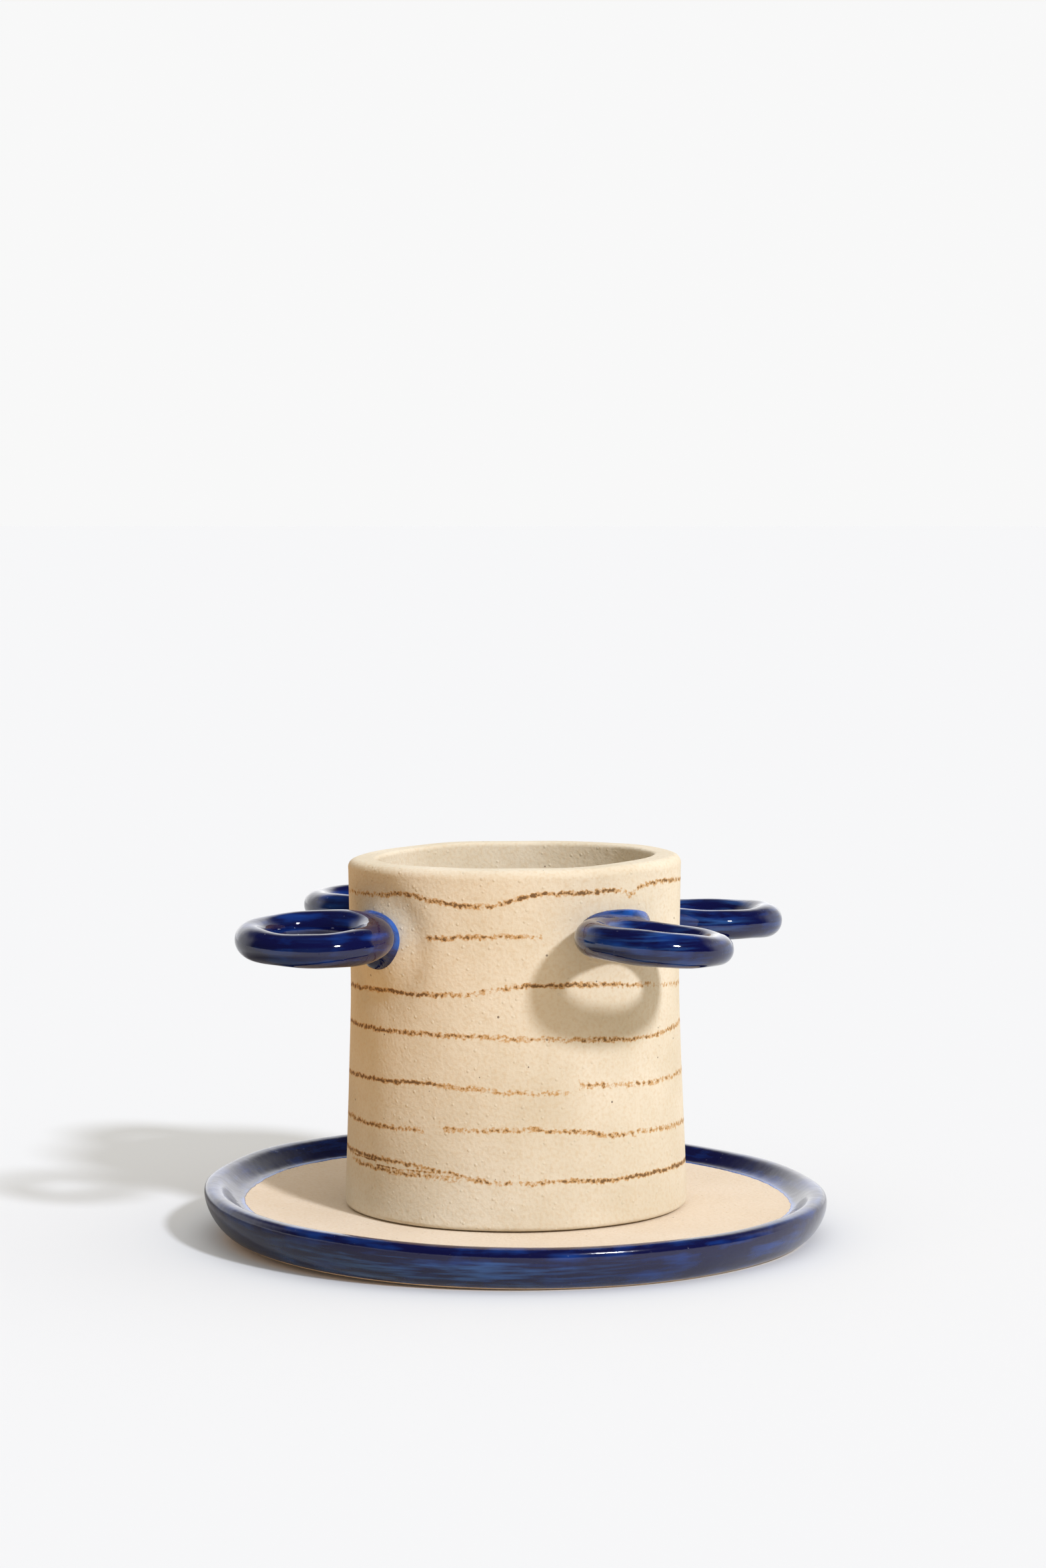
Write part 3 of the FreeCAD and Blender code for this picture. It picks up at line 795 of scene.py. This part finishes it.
leftward = node(sweep_tree, "ShaderNodeMapRange",
                {"Value": spot.outputs["X"], "From Min": right_end, "From Max": left_end})
bounce = node(sweep_tree, "ShaderNodeMixRGB",
              {"Fac": leftward, "Color1": linear(right_bounce_hex), "Color2": linear(left_bounce_hex)})
away = node(sweep_tree, "ShaderNodeVectorMath", {0: sweep_place}, operation="LENGTH").outputs["Value"]
near = node(sweep_tree, "ShaderNodeMapRange", {"Value": away, "From Min": far_end, "From Max": near_end})
# Painted shade: near the tray on the left, the sweep is drawn darker where the glaze mirrors it.
near_left_shade = node(sweep_tree, "ShaderNodeMath", {0: leftward, 1: near}, operation="MULTIPLY")
mirror = node(sweep_tree, "ShaderNodeMixRGB",
              {"Fac": near_left_shade, "Color1": linear(sweep_hex), "Color2": linear(left_mirror_shade_hex)})
is_bounce, is_mirror = paths.outputs["Is Diffuse Ray"], paths.outputs["Is Glossy Ray"]
sent_on = node(sweep_tree, "ShaderNodeMixRGB",
               {"Fac": is_bounce, "Color1": linear(sweep_hex), "Color2": bounce})
paper_colour = node(sweep_tree, "ShaderNodeMixRGB", {"Fac": is_mirror, "Color1": sent_on, "Color2": mirror})
paper = node(sweep_tree, "ShaderNodeBsdfDiffuse", {"Color": paper_colour})
glow = node(sweep_tree, "ShaderNodeEmission", {"Strength": lift})
lit_paper = node(sweep_tree, "ShaderNodeAddShader", {0: paper, 1: glow})
node(sweep_tree, "ShaderNodeOutputMaterial", {"Surface": lit_paper})
sweep_mesh.materials.append(sweep_material)

# The room: soft light that brightens upwards and to the right. Mirrored in the glaze, it is dark but for the
# pale backdrop, which is brightest straight behind.
WHITE = (1.0, 1.0, 1.0, 1.0)
LOW_LIGHT = (0.25, 0.16, 0.06, 1.0)
HIGH_LIGHT = (0.98, 0.955, 0.915, 1.0)
DARK_SIDE_LEVEL = 0.05
RIGHTWARD_SHARE = 0.4
BRIGHTEST_DIRECTION = (-0.1, 0.99, 0.1)
BRIGHTEST_GAIN = 0.6
world = bpy.data.worlds.new("studio")
world.use_nodes = True
room = world.node_tree
room.nodes.clear()
outlook = node(room, "ShaderNodeTexCoord").outputs["Generated"]
direction = node(room, "ShaderNodeSeparateXYZ", {"Vector": outlook})
upward = node(room, "ShaderNodeMapRange", {"Value": direction.outputs["Z"]}, interpolation_type="SMOOTHSTEP")
ceiling = node(room, "ShaderNodeMixRGB", {"Fac": upward, "Color1": LOW_LIGHT, "Color2": HIGH_LIGHT})
behind = node(room, "ShaderNodeMapRange",
              {"Value": direction.outputs["Y"], "From Min": -0.02, "From Max": 0.4},
              interpolation_type="SMOOTHSTEP")
below = node(room, "ShaderNodeMapRange",
             {"Value": direction.outputs["Z"], "From Min": 0.75, "From Max": 0.35},
             interpolation_type="SMOOTHSTEP")
on_backdrop = node(room, "ShaderNodeMath", {0: behind, 1: below}, operation="MULTIPLY")
facing = node(room, "ShaderNodeMapRange",
              {"Value": on_backdrop, "To Min": DARK_SIDE_LEVEL, "To Max": backdrop_level})
straight_behind = node(room, "ShaderNodeVectorMath", {0: outlook, 1: BRIGHTEST_DIRECTION},
                       operation="DOT_PRODUCT").outputs["Value"]
brighter = node(room, "ShaderNodeMapRange",
                {"Value": straight_behind, "From Min": 0.74, "From Max": 0.96, "To Max": BRIGHTEST_GAIN},
                interpolation_type="SMOOTHSTEP")
reflected = node(room, "ShaderNodeMath", {0: facing, 1: brighter}, operation="ADD")
light_paths = node(room, "ShaderNodeLightPath")
sideways = node(room, "ShaderNodeMath", {0: direction.outputs["X"], 1: RIGHTWARD_SHARE, 2: 1.0},
                operation="MULTIPLY_ADD")
soft = node(room, "ShaderNodeBackground", {"Color": ceiling, "Strength": sideways})
mirrored = node(room, "ShaderNodeBackground", {"Color": WHITE, "Strength": reflected})
backdrop = node(room, "ShaderNodeBackground", {"Color": WHITE, "Strength": backdrop_level})
is_glossy, is_camera = light_paths.outputs["Is Glossy Ray"], light_paths.outputs["Is Camera Ray"]
by_gloss = node(room, "ShaderNodeMixShader", {0: is_glossy, 1: soft, 2: mirrored})
by_eye = node(room, "ShaderNodeMixShader", {0: is_camera, 1: by_gloss, 2: backdrop})
node(room, "ShaderNodeOutputWorld", {"Surface": by_eye})
bpy.context.scene.world = world

LAMP_ENERGY = 2.05
LAMP_COLOUR = (1.0, 1.01, 1.09)
LAMP_WIDTH = math.radians(6)
lamp_elevation = math.radians(33)
lamp_bearing = math.radians(37)
lamp_data = bpy.data.lights.new("key_lamp", "SUN")
lamp_data.energy = LAMP_ENERGY
lamp_data.color = LAMP_COLOUR
lamp_data.angle = LAMP_WIDTH
lamp = bpy.data.objects.new("key_lamp", lamp_data)
lamp.rotation_euler = (math.pi / 2 - lamp_elevation, 0, lamp_bearing)
bpy.context.scene.collection.objects.link(lamp)

SENSOR_WIDTH = 36
FOCAL_LENGTH = 86.36
camera_place = (2.1 * MM, -1000 * MM, 195.3 * MM)
camera_dip = math.radians(4.28)
camera_data = bpy.data.cameras.new("camera")
camera_data.sensor_width = SENSOR_WIDTH
camera_data.lens = FOCAL_LENGTH
camera = bpy.data.objects.new("camera", camera_data)
camera.location = camera_place
camera.rotation_euler = (math.pi / 2 - camera_dip, 0, 0)
bpy.context.scene.collection.objects.link(camera)
bpy.context.scene.camera = camera
